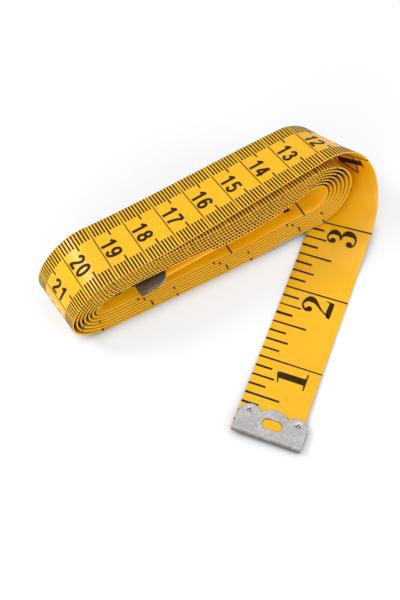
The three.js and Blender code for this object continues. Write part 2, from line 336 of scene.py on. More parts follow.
def put_to_work(mode, piece):
    if bpy.context.object and bpy.context.object.mode != "OBJECT":
        bpy.ops.object.mode_set(mode="OBJECT")
    bpy.ops.object.select_all(action="DESELECT")
    piece.select_set(True)
    bpy.context.view_layer.objects.active = piece
    bpy.ops.object.mode_set(mode=mode)


def closed_mesh(name, points, faces):
    mesh = bpy.data.meshes.new(name)
    mesh.from_pydata(points, [], faces)
    piece = bpy.data.objects.new(name, mesh)
    bpy.context.collection.objects.link(piece)
    put_to_work("EDIT", piece)
    bpy.ops.mesh.select_all(action="SELECT")
    bpy.ops.mesh.normals_make_consistent(inside=False)
    bpy.ops.object.mode_set(mode="OBJECT")
    bpy.ops.object.shade_smooth_by_angle(angle=SMOOTH_ANGLE)
    return piece


def tape_stretch(name, start, end):
    steps = math.ceil(end - start)
    ring = len(tape_section)
    stops = [between(start, end, step / steps) for step in range(steps + 1)]
    points = [on_strip(stop, across, above) for stop in stops for across, above in tape_section]
    faces = []
    for row in range(steps):
        low, high = row * ring, (row + 1) * ring
        for i in range(ring):
            after = (i + 1) % ring
            faces.append((low + i, low + after, high + after, high + i))
    faces += [tuple(range(ring)), tuple(range(steps * ring, (steps + 1) * ring))]
    piece = closed_mesh(name, points, faces)
    girths = [0.0]
    for i in range(ring):
        a, b = tape_section[i], tape_section[(i + 1) % ring]
        girths.append(girths[-1] + math.dist(a, b))
    threads = piece.data.uv_layers.new(name="threads")
    for face in piece.data.polygons:
        columns = [index % ring for index in face.vertices]
        wraps = len(columns) == 4 and 0 in columns and ring - 1 in columns
        for loop, index in zip(face.loop_indices, face.vertices):
            column = ring if wraps and index % ring == 0 else index % ring
            threads.data[loop].uv = (stops[index // ring], girths[column])
    return piece


INCH = 25.4
TAIL_SEAM = 3 * INCH
INNER_SEAM = 58 * INCH
tail_tape = tape_stretch("tail_tape", FOLD_DEPTH, TAIL_SEAM)
coil_tape = tape_stretch("coil_tape", TAIL_SEAM, INNER_SEAM)
inner_tape = tape_stretch("inner_tape", INNER_SEAM, TAPE_LENGTH - FOLD_DEPTH)


class Wire:
    """A shader socket. Sums of wires add Math nodes, and node() adds any other to the same tree."""

    def __init__(self, tree, socket=None):
        self.tree = tree
        self.socket = socket

    def node(self, kind, settings, sockets, output=0):
        made = self.tree.nodes.new("ShaderNode" + kind)
        for name, value in settings.items():
            setattr(made, name, value)
        for name, value in sockets.items():
            socket = next(s for s in made.inputs if name in (s.identifier, s.name))
            if isinstance(value, Wire):
                self.tree.links.new(value.socket, socket)
            else:
                socket.default_value = value
        if isinstance(output, str):
            names = [(s.identifier, s.name) for s in made.outputs]
            output = next(i for i, pair in enumerate(names) if output in pair)
        return Wire(self.tree, made.outputs[output])

    def noise(self, place, scale, detail):
        return self.node("TexNoise", {}, {"Vector": place, "Scale": scale, "Detail": detail})

    def math(self, operation, first, second=0.0):
        return self.node("Math", {"operation": operation}, {"Value": first, "Value_001": second})

    def __add__(self, other):
        return self.math("ADD", self, other)

    def __sub__(self, other):
        return self.math("SUBTRACT", self, other)

    def __rsub__(self, other):
        return self.math("SUBTRACT", other, self)

    def __mul__(self, other):
        return self.math("MULTIPLY", self, other)

    def __gt__(self, other):
        return self.math("GREATER_THAN", self, other)

    __radd__ = __add__
    __rmul__ = __mul__

    def mixed(self, share, low, high):
        low, high = [c if isinstance(c, Wire) else (*c, 1) for c in (low, high)]
        sockets = {"Factor_Float": share, "A_Color": low, "B_Color": high}
        return self.node("Mix", {"data_type": "RGBA"}, sockets, "Result_Color")

    def into(self, shader, name):
        self.tree.links.new(self.socket, shader.inputs[name])


def new_finish(name):
    finish = bpy.data.materials.new(name)
    finish.use_nodes = True
    return finish, Wire(finish.node_tree), finish.node_tree.nodes["Principled BSDF"]


TAPE_YELLOW = (0.96, 0.50, 0.004)
TAPE_DEEP = (0.93, 0.455, 0.003)
TAPE_CORE = (0.80, 0.48, 0.06)
GAP_SHADE_BROWN = (0.20, 0.07, 0.002)
THREAD_PITCH = 0.5
HANDLING_SCALE = 0.06
GRAIN_SCALE = 2.2
CORE_SHOWING = 0.6
GAP_REACH = 1.3
GAP_OPENNESS = 1.4
GAP_SHADE_STRENGTH = 0.7
CLOTH_ROUGHNESS = 0.25
CLOTH_GLOSS = 0.4
CLOTH_DEPTH = 0.8
CLOTH_SCATTER = 0.6
CLOTH_SCATTER_RADIUS = (1.0, 0.35, 0.03)
WEAVE_HEIGHT = 0.03
WEAVE_STRENGTH = 0.25

coated_cloth, wire, shader = new_finish("coated_cloth")
place = wire.node("UVMap", {"uv_map": "threads"}, {})
along = wire.node("SeparateXYZ", {}, {"Vector": place}, "X")
girth = wire.node("SeparateXYZ", {}, {"Vector": place}, "Y")
warp = wire.math("SINE", along * (math.tau / THREAD_PITCH))
weft = wire.math("SINE", girth * (math.tau / THREAD_PITCH))
weave = warp * weft
handling = wire.noise(place, HANDLING_SCALE, 3.0)
grain = wire.noise(place, GRAIN_SCALE, 2.0)
edge_girth = math.pi * EDGE_ROUND
half_girth = 2 * FLAT_HALF + edge_girth
folded_girth = girth - (girth > half_girth) * half_girth
slit_edge = 1 - (folded_girth > edge_girth)
tone = handling * 1.1 - 0.25 + grain * 0.15 + weave * 0.05
face_colour = wire.mixed(tone, TAPE_YELLOW, TAPE_DEEP)
cloth_colour = wire.mixed(slit_edge * CORE_SHOWING, face_colour, TAPE_CORE)
# Painted shade: the faces turn towards brown where another turn lies within GAP_REACH, for the
# shade in the coil's tight gaps; the slit edges are left out.
near_turns = {"samples": 8, "only_local": True}
open_air = wire.node("AmbientOcclusion", near_turns, {"Distance": GAP_REACH * MM}, "AO")
painted_gap_shade = (1 - slit_edge) * (1 - wire.math("SMOOTH_MIN", open_air * GAP_OPENNESS, 1.0))
wire.mixed(painted_gap_shade * GAP_SHADE_STRENGTH, cloth_colour, GAP_SHADE_BROWN).into(shader, "Base Color")
(handling * 0.12 + grain * 0.06 + CLOTH_ROUGHNESS).into(shader, "Roughness")
shader.inputs["Specular IOR Level"].default_value = CLOTH_GLOSS
shader.inputs["Subsurface Weight"].default_value = CLOTH_SCATTER
shader.inputs["Subsurface Radius"].default_value = CLOTH_SCATTER_RADIUS
shader.inputs["Subsurface Scale"].default_value = CLOTH_DEPTH * MM
threads = weave * 0.5 + grain * 0.8
relief = {"Height": threads, "Strength": WEAVE_STRENGTH, "Distance": WEAVE_HEIGHT * MM}
wire.node("Bump", {}, relief).into(shader, "Normal")

for piece in (tail_tape, coil_tape, inner_tape):
    piece.data.materials.append(coated_cloth)

# Points on the strip's middle either side of each crease, reaching farther to the free side on the
# tail.
LIFT_BEND = (3.0, -7.0)
FLAP_FLEX = 6.5
outer_crease = TAIL_LENGTH - CREASE_SETBACK
tail_bend = [on_strip(outer_crease + offset, 0, 0) for offset in LIFT_BEND]
flap_start = TAPE_LENGTH - FLAP_LENGTH
inner_bend = [on_strip(flap_start + offset, 0, 0) for offset in (-FLAP_FLEX, FLAP_FLEX)]


def carry(piece, stretch):
    if stretch == "tail":
        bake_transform(piece)
    elif stretch == "inner":
        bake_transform(piece)
    else:
        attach(piece, "winding")


carry(tail_tape, "tail")
carry(coil_tape, "coil")
carry(inner_tape, "inner")
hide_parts("free_end_tape")
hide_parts("wound_tape")
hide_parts("inner_end_tape")

# The inch scale is printed in black ink on the face that lies upward at the free end: eighths from
# one edge only, a line across at each inch, and just before it a tall numeral with heavy stems and
# fine hairlines.
INK_PROUD = 0.03
INK_SUNK = 0.05
EIGHTHS = 8
EIGHTH_REACHES = {1: 5.0, 2: 6.6, 4: 10.2}
EIGHTH_WIDTH = 0.65
INCH_LINE_WIDTH = 0.5
INCH_WRAP = 115
INCH_BASELINE = 15.5
INCH_ENDS = 0.9
INCH_SPACING = 0.55
LAST_INCH = 59
NUMERAL_WIDTH = 6.0
NUMERAL_HEIGHT = 9.2
LOOP_STEPS = 12


def loop_of(x, y, wide, high, thin, swell):
    """A ring of pen points, thin at its top and foot and swelling at its sides."""
    ring = []
    for step in range(LOOP_STEPS + 1):
        turn = math.tau * step / LOOP_STEPS
        side = abs(math.cos(turn))
        ring.append((x + wide * math.cos(turn), y + high * math.sin(turn), thin + swell * side))
    return ring


SIX = [
    (5.15, 7.6, 0.35), (4.55, 8.65, 0.24), (3.3, 8.9, 0.28), (1.9, 7.6, 0.8),
    (1.3, 5.0, 1.05), (1.4, 2.7, 1.05), (2.1, 0.85, 0.5), (3.1, 0.24, 0.22),
    (4.2, 0.85, 0.55), (4.85, 2.7, 1.05), (4.3, 4.6, 0.55), (3.3, 5.25, 0.24),
    (2.1, 4.4, 0.2),
]
HEAVY_NUMERALS = {
    "0": [loop_of(3.0, 4.6, 1.95, 4.38, 0.22, 0.83)],
    "1": [
        [(2.78, 0.3, 1.07), (2.78, 8.4, 1.07)],
        [(2.78, 0.3, 1.7), (2.78, 0.75, 1.07)],
        [(0.0, 0.21, 0.21), (5.5, 0.21, 0.21)],
        [(0.15, 7.85, 0.16), (1.3, 8.02, 0.22), (2.6, 8.35, 0.32), (3.84, 8.85, 0.06)],
    ],
    "2": [
        [
            (0.72, 7.05, 0.5), (1.1, 8.0, 0.36), (1.75, 8.62, 0.3), (2.6, 8.9, 0.28),
            (3.9, 8.5, 0.45), (4.85, 7.45, 0.95), (4.72, 6.1, 0.88), (4.0, 5.05, 0.52),
            (3.0, 4.05, 0.35), (1.9, 2.75, 0.27), (0.95, 1.3, 0.24), (0.3, 0.3, 0.22),
        ],
        [(0.1, 0.15, 0.12), (1.1, 0.8, 0.78), (4.8, 0.75, 0.74), (5.55, 0.7, 0.62)],
        [(5.25, 0.7, 0.35), (5.5, 1.6, 0.22), (5.6, 2.45, 0.15)],
    ],
    "3": [
        [
            (0.66, 7.3, 0.45), (1.15, 8.3, 0.3), (2.2, 8.92, 0.25), (3.4, 8.6, 0.42),
            (4.3, 7.6, 0.9), (4.3, 6.5, 0.85), (3.5, 5.3, 0.4), (2.0, 4.85, 0.22),
        ],
        [
            (2.0, 4.85, 0.22), (3.6, 4.65, 0.35), (4.8, 3.6, 0.95), (4.85, 2.2, 1.0),
            (4.0, 0.75, 0.45), (2.6, 0.24, 0.24), (1.3, 0.6, 0.3), (0.62, 1.6, 0.45),
        ],
    ],
    "4": [
        [(4.2, 0.3, 1.02), (4.2, 9.1, 1.02)],
        [(2.4, 0.21, 0.21), (6.0, 0.21, 0.21)],
        [(0.2, 2.7, 0.24), (3.6, 8.9, 0.24)],
        [(0.0, 2.65, 0.26), (6.2, 2.65, 0.26)],
    ],
    "5": [
        [(1.15, 8.4, 0.75), (4.4, 8.5, 0.68), (5.5, 8.7, 0.3)],
        [(1.3, 4.6, 0.2), (1.3, 8.9, 0.2)],
        [
            (1.3, 4.7, 0.2), (2.4, 5.55, 0.28), (3.7, 5.4, 0.5), (4.75, 4.2, 0.95),
            (4.85, 2.5, 1.02), (4.0, 0.85, 0.5), (2.6, 0.24, 0.24), (1.2, 0.7, 0.3),
            (0.62, 1.7, 0.42),
        ],
    ],
    "6": [SIX],
    "7": [
        [(0.6, 8.3, 0.6), (2.6, 8.55, 0.62), (5.7, 8.45, 0.75)],
        [(0.5, 6.9, 0.14), (0.62, 8.6, 0.3)],
        [(5.8, 8.4, 0.22), (4.5, 6.2, 0.4), (3.3, 3.6, 0.8), (2.95, 0.0, 1.1)],
    ],
    "8": [
        loop_of(3.0, 6.95, 1.55, 2.02, 0.22, 0.55),
        loop_of(3.0, 2.55, 1.9, 2.33, 0.22, 0.78),
    ],
    "9": [[(NUMERAL_WIDTH - x, NUMERAL_HEIGHT - y, half) for x, y, half in SIX]],
}
HEAVY_BALLS = {
    "2": [(1.44, 6.68, 0.92)],
    "3": [(1.35, 7.05, 0.9), (1.3, 2.0, 0.95)],
    "5": [(1.3, 2.0, 0.92)],
    "6": [(4.75, 7.3, 0.85)],
    "9": [(1.25, 1.9, 0.85)],
}

SEAM_SLACK = 0.1
ink = {stretch: {"inch": ([], []), "cm": ([], [])} for stretch in ("tail", "coil", "inner")}


def ink_for(scale, distance):
    if distance < TAIL_SEAM - SEAM_SLACK:
        return ink["tail"][scale]
    if distance < INNER_SEAM + SEAM_SLACK:
        return ink["coil"][scale]
    return ink["inner"][scale]


def lay_ink(scale, distance, rows):
    """A closed film of ink on one face, from rows of (along, across, angle over the edge)."""
    points, faces = ink_for(scale, distance)
    face = 1 if scale == "inch" else -1
    first = len(points)
    wide = len(rows[0])
    for lift in (INK_PROUD, -INK_SUNK):
        radius = EDGE_ROUND + lift
        for row in rows:
            for along, across, over in row:
                over = math.radians(over)
                outward = math.copysign(radius * math.sin(over), across)
                points.append(on_strip(along, across + outward, face * radius * math.cos(over)))
    half = len(rows) * wide
    for r in range(len(rows) - 1):
        for c in range(wide - 1):
            a = first + r * wide + c
            quad = (a, a + 1, a + wide + 1, a + wide)
            faces.append(quad)
            faces.append(tuple(i + half for i in reversed(quad)))
    rim = [first + c for c in range(wide)]
    rim += [first + r * wide + wide - 1 for r in range(1, len(rows))]
    rim += [first + (len(rows) - 1) * wide + c for c in range(wide - 2, -1, -1)]
    rim += [first + r * wide for r in range(len(rows) - 2, 0, -1)]
    for a, b in zip(rim, rim[1:] + rim[:1]):
        faces.append((b, a, a + half, b + half))


def rule(scale, distance, width, reach, edge, wrap):
    """A printed line from one edge, or over both edges where it reaches across the whole strip."""
    ends = [(edge * FLAT_HALF, wrap), (edge * FLAT_HALF, wrap / 2), (edge * FLAT_HALF, 0)]
    if reach >= TAPE_WIDTH:
        ends += [(-edge * FLAT_HALF, 0), (-edge * FLAT_HALF, wrap / 2), (-edge * FLAT_HALF, wrap)]
    else:
        ends.append((edge * (TAPE_WIDTH / 2 - reach), 0))
    rows = [
        [(distance + side * width / 2, across, over) for side in (-1, 1)] for across, over in ends
    ]
    lay_ink(scale, distance, rows)


SAME_POINT = 1e-6
STEM_STEP = 0.9
CURVE_STEPS = 2


def pen_line(points):
    """The two sides of a pen stroke that runs smoothly through (x, y, half width) points."""
    knots = [Vector(p) for p in points]
    closed = (knots[0] - knots[-1]).length < SAME_POINT
    smooth = []
    for i in range(len(knots) - 1):
        a, b = knots[i], knots[i + 1]
        before = knots[i - 1] if i else knots[-2] if closed else a * 2 - b
        after = knots[i + 2] if i + 2 < len(knots) else knots[1] if closed else b * 2 - a
        steps = max(1, round((b - a).length / STEM_STEP)) if len(knots) == 2 else CURVE_STEPS
        for step in range(steps):
            t = step / steps
            square = (2 * before - 5 * a + 4 * b - after) * t**2
            cube = (3 * a - before - 3 * b + after) * t**3
            smooth.append(0.5 * (2 * a + (b - before) * t + square + cube))
    smooth.append(knots[-1])
    sides = []
    for i, here in enumerate(smooth):
        ahead = smooth[min(i + 1, len(smooth) - 1)] - smooth[max(i - 1, 0)]
        if closed and i in (0, len(smooth) - 1):
            ahead = smooth[1] - smooth[-2]
        out = Vector((-ahead.y, ahead.x)).normalized() * here.z
        sides.append(((here.x + out.x, here.y + out.y), (here.x - out.x, here.y - out.y)))
    return sides


BALL_STEPS = 8
BALL_START = 0.03
BALL_SHARE = 0.94


def ball(x, y, radius):
    sides = []
    for step in range(BALL_STEPS + 1):
        turn = math.pi * (BALL_START + BALL_SHARE * step / BALL_STEPS)
        left = x - radius * math.cos(turn)
        sides.append(((left, y + radius * math.sin(turn)), (left, y - radius * math.sin(turn))))
    return sides


for number in range(1, LAST_INCH + 1):
    line = number * INCH
    rule("inch", line, INCH_LINE_WIDTH, TAPE_WIDTH, -1, INCH_WRAP)
    text = str(number)
    width = len(text) * (NUMERAL_WIDTH + INCH_SPACING) - INCH_SPACING
    for place, digit in enumerate(text):
        foot = line - INCH_ENDS - width + place * (NUMERAL_WIDTH + INCH_SPACING)
        shapes = [pen_line(stroke) for stroke in HEAVY_NUMERALS[digit]]
        shapes += [ball(*spot) for spot in HEAVY_BALLS.get(digit, [])]
        for sides in shapes:
            rows = [
                [(foot + x, INCH_BASELINE - y - TAPE_WIDTH / 2, 0) for x, y in pair]
                for pair in sides
            ]
            lay_ink("inch", foot, rows)
for eighth in range(1, int(TAPE_LENGTH / INCH * EIGHTHS)):
    if eighth % EIGHTHS:
        reach = EIGHTH_REACHES[math.gcd(eighth, EIGHTHS)]
        rule("inch", eighth * INCH / EIGHTHS, EIGHTH_WIDTH, reach, -1, INCH_WRAP)

INK_BLACK = (0.016, 0.008, 0.002)
INK_THIN = (0.060, 0.028, 0.004)
INK_PATCHES = 700.0
INK_ROUGHNESS = 0.32
INK_GLOSS = 0.15
INK_GLOSS_TINT = (1, 0.75, 0.4, 1)
print_ink, wire, shader = new_finish("print_ink")
place = wire.node("TexCoord", {}, {}, "Object")
patchy = wire.noise(place, INK_PATCHES, 3.0)
wire.mixed(patchy * 1.6 - 0.5, INK_BLACK, INK_THIN).into(shader, "Base Color")
(patchy * 0.25 + INK_ROUGHNESS).into(shader, "Roughness")
shader.inputs["Specular IOR Level"].default_value = INK_GLOSS
shader.inputs["Specular Tint"].default_value = INK_GLOSS_TINT


def printed(scale, name):
    for stretch, films in ink.items():
        piece = closed_mesh(f"{stretch}_{name}", *films[scale])
        piece.data.materials.append(print_ink)
        carry(piece, stretch)
        yield piece


inch_print = list(printed("inch", "inch_scale"))

# The centimetre scale is printed in the same ink on the other face, which the coil shows. It has
# millimetres from both edges, a fine line across at each centimetre, and plain narrow numerals that
# stand across the tape before it.
CM = 10
CM_OFFSET = -0.6
FIRST_MM = 2
LAST_CM = 150
MM_REACH = 4.2
FIVE_REACH = 5.7
MM_WIDTH = 0.47
CM_LINE_WIDTH = 0.28
CM_WRAP = 35
CM_BASELINE = 0.6
CM_PITCH = 3.1
CM_DIGIT_WIDTH = 2.5
CM_DIGIT_HEIGHT = 4.8
PEN = 0.42


def plain_loop(y, wide, high):
    return [point[:2] for point in loop_of(CM_DIGIT_WIDTH / 2, y, wide, high, PEN, 0)]


PLAIN_SIX = [
    (2.1, 3.6), (1.8, 4.25), (1.25, 4.46), (0.65, 4.0), (0.35, 2.5), (0.45, 1.1), (0.8, 0.45),
    (1.25, 0.34), (1.8, 0.55), (2.12, 1.5), (1.85, 2.5), (1.25, 2.75), (0.7, 2.4), (0.45, 1.7),
]
PLAIN_NUMERALS = {
    "0": [plain_loop(2.4, 0.9, 2.06)],
    "1": [[(1.5, 0.0), (1.5, 4.8)], [(0.35, 3.55), (0.95, 3.85), (1.4, 4.5)]],
    "2": [
        [
            (0.38, 3.4), (0.6, 4.15), (1.25, 4.46), (1.95, 4.05), (2.05, 3.3), (1.6, 2.3),
            (0.8, 1.2), (0.45, 0.4),
        ],
        [(0.15, 0.34), (2.35, 0.34)],
    ],
    "3": [
        [(0.42, 3.5), (0.65, 4.2), (1.25, 4.46), (1.9, 4.1), (1.9, 3.1), (1.05, 2.55)],
        [
            (1.05, 2.55), (2.0, 2.15), (2.1, 1.15), (1.75, 0.5), (1.2, 0.34), (0.6, 0.55),
            (0.36, 1.3),
        ],
    ],
    "4": [[(1.8, 0.0), (1.8, 4.7)], [(1.65, 4.5), (0.3, 1.5)], [(0.1, 1.35), (2.5, 1.35)]],
    "5": [
        [(2.2, 4.46), (0.5, 4.46)],
        [(0.62, 4.5), (0.48, 2.4)],
        [
            (0.48, 2.4), (1.2, 2.85), (1.9, 2.5), (2.12, 1.6), (1.85, 0.65), (1.2, 0.34),
            (0.62, 0.55), (0.36, 1.2),
        ],
    ],
    "6": [PLAIN_SIX],
    "7": [[(0.2, 4.46), (2.35, 4.46)], [(2.25, 4.3), (1.5, 2.9), (1.05, 1.4), (0.9, 0.0)]],
    "8": [plain_loop(3.5, 0.76, 0.98), plain_loop(1.45, 0.88, 1.12)],
    "9": [[(CM_DIGIT_WIDTH - x, CM_DIGIT_HEIGHT - y) for x, y in PLAIN_SIX]],
}

plain_shapes = {
    digit: [pen_line([(x, y, PEN) for x, y in stroke]) for stroke in strokes]
    for digit, strokes in PLAIN_NUMERALS.items()
}
for number in range(1, LAST_CM + 1):
    line = number * CM + CM_OFFSET
    rule("cm", line, CM_LINE_WIDTH, TAPE_WIDTH, -1, CM_WRAP)
    text = str(number)
    width = (len(text) - 1) * CM_PITCH + CM_DIGIT_WIDTH
    for place, digit in enumerate(text):
        start = place * CM_PITCH - width / 2
        for sides in plain_shapes[digit]:
            rows = [[(line - CM_BASELINE - y, start + x, 0) for x, y in pair] for pair in sides]
            lay_ink("cm", line - CM_BASELINE, rows)
for millimetre in range(FIRST_MM, LAST_CM * CM):
    if millimetre % CM:
        reach = MM_REACH if millimetre % (CM // 2) else FIVE_REACH
        for edge in (-1, 1):
            rule("cm", millimetre + CM_OFFSET, MM_WIDTH, reach, edge, CM_WRAP)
cm_print = list(printed("cm", "centimetre_scale"))

# The end clips are stamped from thin nickelled steel, folded over the tape's ends and crimped. Each
# has three lobes, a ridge along its fold, an oval slot, and two prongs pierced through to grip the
# cloth. The inner one is a copy, coloured darker as painted shade for its place under the coil.
CLIP_WIDTH = 20.1
CLIP_SHEET = 0.34
CLIP_REACH = 10.6
LEAF_LEVEL = 0.42
RIDGE_LEVEL = 0.52
RIDGE_START = 0.34
RIDGE_END = 1.5
RIDGE_FOOT = 1.95
NOSE_RADIUS = 0.3
NOSE_STEPS = 6
TRIM = 1.0
BLANK_HEIGHT = 4.0
LOBES = [(-6.75, 6.14, 3.3), (0.27, 4.45, 5.31), (6.78, 6.23, 3.27)]
LOBE_BASE = 6.1
LOBE_REACH = 2.1
LOBE_SIDES = 64
SLOT_PLACE = (0.2, 4.9)
SLOT_RADIUS = 1.65
SLOT_STRETCH = 1.3
SLOT_SIDES = 30
CLIP_ROUNDING = 0.16
ROUNDED_CORNERS = math.radians(35)
PRONGS = [(-7.2, 7.35), (7.1, 7.36)]
PRONG_RADIUS = 0.95
PRONG_DEPTH = 0.29
PRONG_SIDES = 3
TIP_RADIUS = 0.34
TIP_TAPER = 3
TIP_BURIED = 0.02
TIP_BELOW = 0.06
TIP_SIDES = 10
TIP_SLOPE = (0.1, 0.98)
DIMPLE_RADIUS = 1.15
DIMPLE_DEPTH = 0.16
DIMPLE_FLOOR = 0.55
DIMPLE_FLARE = 4.0
DIMPLE_SIDES = 24
DIMPLE_RIM = 1.3
PIT_FLOOR = 0.2
EDGE_TILT = 0.985
CUT_TOP = 3.0
NEAR = 0.001
SEAM_MERGE = 0.0001
CORNER_MERGE = 0.01


def pick(piece, chosen):
    bpy.ops.object.mode_set(mode="OBJECT")
    for group in (piece.data.vertices, piece.data.edges, piece.data.polygons):
        for element in group:
            element.select = False
    for vertex in piece.data.vertices:
        vertex.select = chosen(vertex.co)
    bpy.ops.object.mode_set(mode="EDIT")


def draw_out(along, up):
    bpy.ops.mesh.extrude_region_move(TRANSFORM_OT_translate={"value": (0, along, up)})


def curl_under(height):
    center = (0, RIDGE_START, height)
    bpy.ops.mesh.spin(steps=NOSE_STEPS, angle=-math.pi / 2, center=center, axis=(1, 0, 0))


def cut(piece, tool, operation):
    put_to_work("OBJECT", piece)
    modifier = piece.modifiers.new("cut", "BOOLEAN")
    modifier.operation = operation
    modifier.solver = "EXACT"
    modifier.object = tool
    bpy.ops.object.modifier_apply(modifier="cut")
    bpy.data.objects.remove(tool)


def drum(x, y, low, high, radius, sides, top_radius=None):
    bpy.ops.object.select_all(action="DESELECT")
    bpy.ops.mesh.primitive_cone_add(
        vertices=sides,
        radius1=radius,
        radius2=radius if top_radius is None else top_radius,
        depth=high - low,
        location=(x, y, (low + high) / 2),
    )
    bpy.ops.object.transform_apply(location=True, rotation=True, scale=True)
    return bpy.context.object


bpy.ops.object.select_all(action="DESELECT")
bpy.ops.mesh.primitive_plane_add(size=1)
clip = bpy.context.object
clip.name = "free_clip"
clip.scale = (CLIP_WIDTH + 2 * TRIM, CLIP_REACH - RIDGE_FOOT, 1)
clip.location = (0, (CLIP_REACH + RIDGE_FOOT) / 2, LEAF_LEVEL)
bpy.ops.object.transform_apply(location=True, rotation=True, scale=True)
nose_height = RIDGE_LEVEL - NOSE_RADIUS
ridge_rise = RIDGE_LEVEL - LEAF_LEVEL
put_to_work("EDIT", clip)
bpy.ops.mesh.select_mode(type="VERT")
pick(clip, lambda co: co.y < RIDGE_FOOT + NEAR)
draw_out(RIDGE_END - RIDGE_FOOT, ridge_rise)
draw_out(RIDGE_START - RIDGE_END, 0)
curl_under(nose_height)
pick(clip, lambda co: co.y < RIDGE_START - NOSE_RADIUS + NEAR)
draw_out(0, -2 * nose_height)
curl_under(-nose_height)
pick(clip, lambda co: abs(co.y - RIDGE_START) < NEAR and co.z < 0)
draw_out(RIDGE_END - RIDGE_START, 0)
draw_out(RIDGE_FOOT - RIDGE_END, ridge_rise)
draw_out(CLIP_REACH - RIDGE_FOOT, 0)
bpy.ops.mesh.select_all(action="SELECT")
bpy.ops.mesh.remove_doubles(threshold=SEAM_MERGE)
bpy.ops.mesh.normals_make_consistent(inside=False)
put_to_work("OBJECT", clip)
wall = clip.modifiers.new("wall", "SOLIDIFY")
wall.thickness = CLIP_SHEET
wall.offset = 0
bpy.ops.object.modifier_apply(modifier="wall")

bpy.ops.object.select_all(action="DESELECT")
bpy.ops.mesh.primitive_cube_add(size=1)
blank = bpy.context.object
blank.scale = (CLIP_WIDTH, LOBE_BASE + TRIM, BLANK_HEIGHT)
blank.location = (0, (LOBE_BASE - TRIM) / 2, 0)
bpy.ops.object.transform_apply(location=True, rotation=True, scale=True)
for x, y, radius in LOBES:
    cut(blank, drum(x, y, -LOBE_REACH, LOBE_REACH, radius, LOBE_SIDES), "UNION")
cut(clip, blank, "INTERSECT")

slot = drum(*SLOT_PLACE, 0, CUT_TOP, SLOT_RADIUS, SLOT_SIDES)
put_to_work("EDIT", slot)
for side in (-1, 1):
    pick(slot, lambda co: (co.x - SLOT_PLACE[0]) * side > 0)
    bpy.ops.transform.translate(value=(side * SLOT_STRETCH, 0, 0))
cut(clip, slot, "DIFFERENCE")

put_to_work("EDIT", clip)
bpy.ops.mesh.select_all(action="SELECT")
bpy.ops.mesh.remove_doubles(threshold=CORNER_MERGE)
put_to_work("OBJECT", clip)
rounding = clip.modifiers.new("rounding", "BEVEL")
rounding.width = CLIP_ROUNDING
rounding.segments = 3
rounding.limit_method = "ANGLE"
rounding.angle_limit = ROUNDED_CORNERS
bpy.ops.object.modifier_apply(modifier="rounding")

leaf_top = LEAF_LEVEL + CLIP_SHEET / 2
dimple_floor = leaf_top - DIMPLE_DEPTH
prong_floor = leaf_top - PRONG_DEPTH
dimple = (DIMPLE_RADIUS * DIMPLE_FLOOR, DIMPLE_SIDES, DIMPLE_RADIUS * DIMPLE_FLARE)
tip = (TIP_RADIUS, TIP_SIDES, TIP_RADIUS / TIP_TAPER)
for x, y in PRONGS:
    cut(clip, drum(x, y, dimple_floor, dimple_floor + 1, *dimple), "DIFFERENCE")
    cut(clip, drum(x, y, prong_floor, CUT_TOP, PRONG_RADIUS, PRONG_SIDES), "DIFFERENCE")
    cut(clip, drum(x, y, prong_floor - TIP_BURIED, leaf_top - TIP_BELOW, *tip), "UNION")
put_to_work("OBJECT", clip)
bpy.ops.object.shade_smooth_by_angle(angle=SMOOTH_ANGLE)
flatness = clip.modifiers.new("flatness", "WEIGHTED_NORMAL")
flatness.keep_sharp = True
bpy.ops.object.modifier_apply(modifier="flatness")

PIT_SHADE, FOLD_SHADE, PAINTED_EDGE = 1, 2, 3
# Painted shade: faces down in the prong pits take the near-black pit finish and the fold's nose the
# darker steel, for the shade there; the cut edges take the fourth slot, painted shade on the free
# clip and a painted glint on the inner one.
for face in clip.data.polygons:
    deep = PIT_FLOOR < face.center.z < dimple_floor - CORNER_MERGE
    nearest = min(math.dist(face.center.xy, prong) for prong in PRONGS)
    on_tip = nearest < TIP_RADIUS and TIP_SLOPE[0] < face.normal.z < TIP_SLOPE[1]
    on_edge = abs(face.normal.z) < EDGE_TILT and nearest > DIMPLE_RADIUS * DIMPLE_RIM
    if deep and nearest < PRONG_RADIUS and not on_tip:
        face.material_index = PIT_SHADE
    if face.center.y < RIDGE_START:
        face.material_index = FOLD_SHADE
    if face.center.y > RIDGE_FOOT and on_edge:
        face.material_index = PAINTED_EDGE
bpy.ops.object.duplicate()
inner_clip = bpy.context.object
inner_clip.name = "inner_clip"

NICKEL = (0.52, 0.505, 0.50)
NICKEL_DULL = (0.30, 0.29, 0.285)
SHADE_NICKEL = (0.20, 0.19, 0.18)
SHADE_NICKEL_DARK = (0.115, 0.108, 0.10)
PIT_SHADE_DARK = (0.02, 0.017, 0.013)
PIT_SHADE_GREY = (0.12, 0.105, 0.09)
BRUSH_SCALE = (2200.0, 160.0, 2200.0)
BRUSH_TURN = (0, 0, math.radians(-TAIL_HEADING))
HANDLING_MARKS = 260.0
SCUFFS = 900.0
SPECKS = 1700.0
SPECK_LIMIT = 0.66
PIT_MOTTLE = 2500.0
NICKEL_ROUGHNESS = 0.2
SHADE_NICKEL_ROUGHNESS = 0.26
PIT_ROUGHNESS = 0.6
BRUSH_HEIGHT = 0.04
BRUSH_STRENGTH = 0.2


